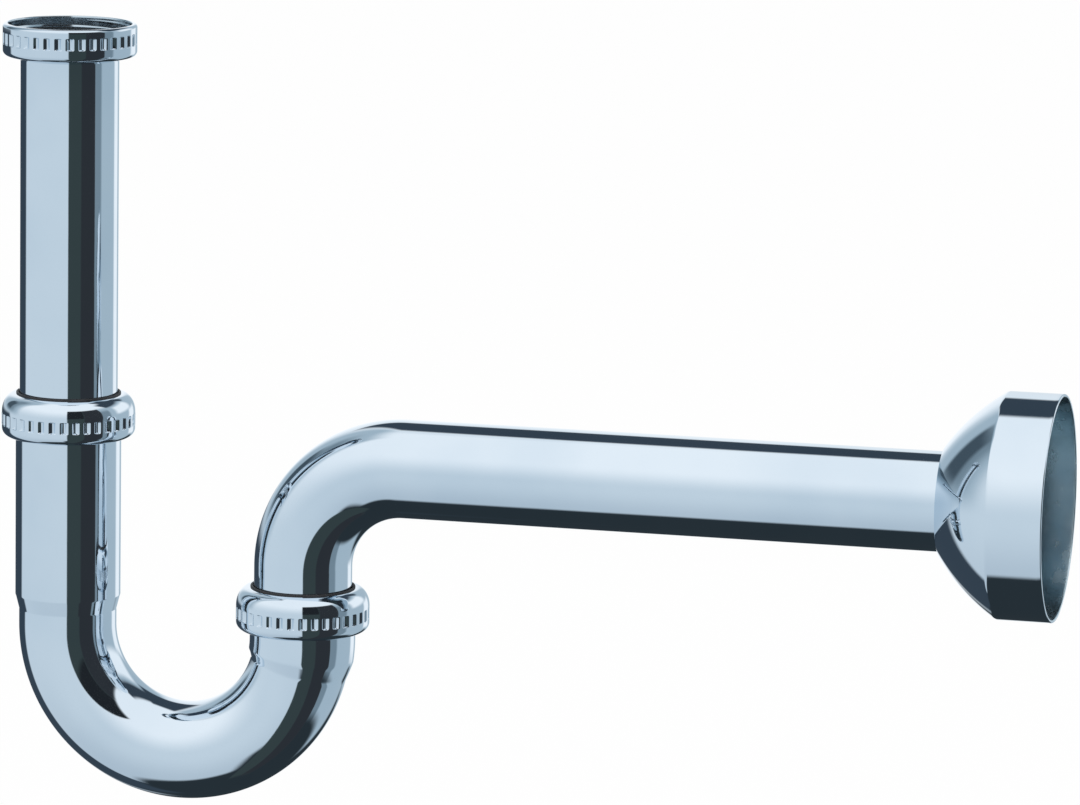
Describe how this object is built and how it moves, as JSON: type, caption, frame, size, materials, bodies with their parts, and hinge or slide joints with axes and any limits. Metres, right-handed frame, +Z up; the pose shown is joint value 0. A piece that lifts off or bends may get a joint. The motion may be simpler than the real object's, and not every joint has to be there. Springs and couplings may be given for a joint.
{
  "type": "tubular p-trap",
  "caption": "Chromed tubular P-trap for a wash basin: drop tube, swivelling U-bend, fluted slip-joint nuts, wall arm with elbow and a sliding conical wall rosette.",
  "frame": {"origin": "centre of the inlet nut's open mouth, where the basin waste screws in", "axes": "+Z up along the inlet leg and the basin waste, +X along the wall arm towards the wall, +Y to the side by the right-hand rule"},
  "size_m": [0.349, 0.0724, 0.254],
  "materials": {
    "chrome": "mirror-bright chrome plate on brass tube and turned brass nuts",
    "rubber": "matt black moulded rubber",
    "ring_plastic": "off-white moulded plastic"
  },
  "bodies": {
    "inlet_union": {"inlet_nut": "chrome"},
    "drop": {"drop_tube": "chrome", "inlet_gasket": "rubber"},
    "inlet_slip": {"inlet_seal": "rubber"},
    "trap": {"u_bend": "chrome", "inlet_thread_collar": "chrome", "outlet_thread_collar": "chrome"},
    "inlet_ring": {"inlet_slip_ring": "ring_plastic"},
    "inlet_nut_body": {"inlet_joint_nut": "chrome"},
    "outlet_slip": {"outlet_seal": "rubber"},
    "arm": {"wall_tube": "chrome"},
    "outlet_ring": {"outlet_slip_ring": "ring_plastic"},
    "outlet_nut_body": {"outlet_joint_nut": "chrome"},
    "rosette": {"wall_rosette": "chrome", "rosette_grip": "rubber"}
  },
  "joints": [
    {"name": "inlet_swivel", "type": "hinge", "parent": "inlet_union", "child": "drop", "pos_m": [0, 0, 0], "axis": [0, 0, 1], "continuous": true},
    {"name": "trap_height", "type": "slide", "parent": "drop", "child": "inlet_slip", "axis": [0, 0, -1], "range_m": [-0.018, 0.025]},
    {"name": "trap_swivel", "type": "hinge", "parent": "inlet_slip", "child": "trap", "pos_m": [0, 0, -0.12], "axis": [0, 0, 1], "continuous": true},
    {"name": "inlet_ring_slide", "type": "slide", "parent": "trap", "child": "inlet_ring", "axis": [0, 0, 1], "range_m": [0, 0.0058]},
    {"name": "inlet_nut_turn", "type": "hinge", "parent": "inlet_ring", "child": "inlet_nut_body", "pos_m": [0, 0, -0.12], "axis": [0, 0, 1], "range_deg": [0, 900]},
    {"name": "arm_swivel", "type": "hinge", "parent": "trap", "child": "outlet_slip", "pos_m": [0.08, 0, -0.18], "axis": [0, 0, 1], "range_deg": [-130, 130]},
    {"name": "arm_height", "type": "slide", "parent": "outlet_slip", "child": "arm", "axis": [0, 0, 1], "range_m": [-0.002, 0.01]},
    {"name": "outlet_ring_slide", "type": "slide", "parent": "trap", "child": "outlet_ring", "axis": [0, 0, 1], "range_m": [0, 0.0058]},
    {"name": "outlet_nut_turn", "type": "hinge", "parent": "outlet_ring", "child": "outlet_nut_body", "pos_m": [0.08, 0, -0.18], "axis": [0, 0, 1], "range_deg": [0, 900]},
    {"name": "rosette_slide", "type": "slide", "parent": "arm", "child": "rosette", "axis": [1, 0, 0], "range_m": [-0.165, 0.008]}
  ],
  "couplings": [
    {"joint": "inlet_ring_slide", "follows": "inlet_nut_turn", "m_per_rad": 0.0003675},
    {"joint": "outlet_ring_slide", "follows": "outlet_nut_turn", "m_per_rad": 0.0003675}
  ]
}
